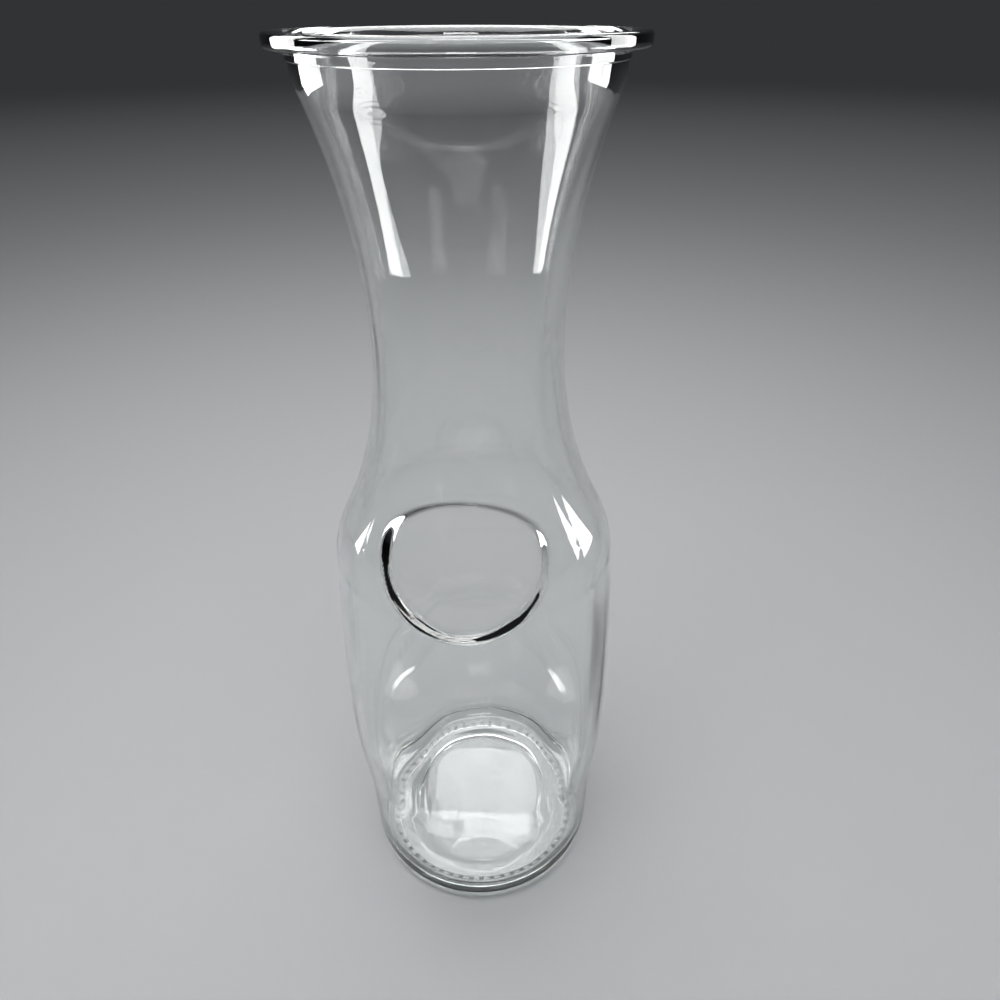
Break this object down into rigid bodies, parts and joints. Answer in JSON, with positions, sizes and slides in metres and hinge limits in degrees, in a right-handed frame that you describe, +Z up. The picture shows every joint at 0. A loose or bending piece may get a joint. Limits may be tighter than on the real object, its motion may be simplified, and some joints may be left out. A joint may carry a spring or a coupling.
{
  "type": "water carafe",
  "caption": "Tall clear glass carafe with a rolled mouth bead, flared neck, narrow waist, round shoulder with a blank sunk oval seal, barrelled body and a heavy pushed-up base.",
  "frame": {"origin": "centre of the bearing ring's contact face, on the carafe's axis", "axes": "+Z up along the carafe's axis, -Y towards the side that carries the seal, +X to the right of a viewer facing the seal"},
  "size_m": [0.0886, 0.0886, 0.265],
  "materials": {
    "glass": "clear fire-polished soda-lime glass"
  },
  "bodies": {
    "root": {"mouth_rim": "glass", "collar_band": "glass", "neck": "glass", "shoulder": "glass", "body_wall": "glass", "seal_medallion": "glass", "foot": "glass", "base_floor": "glass", "bearing_ring": "glass"}
  },
  "joints": []
}
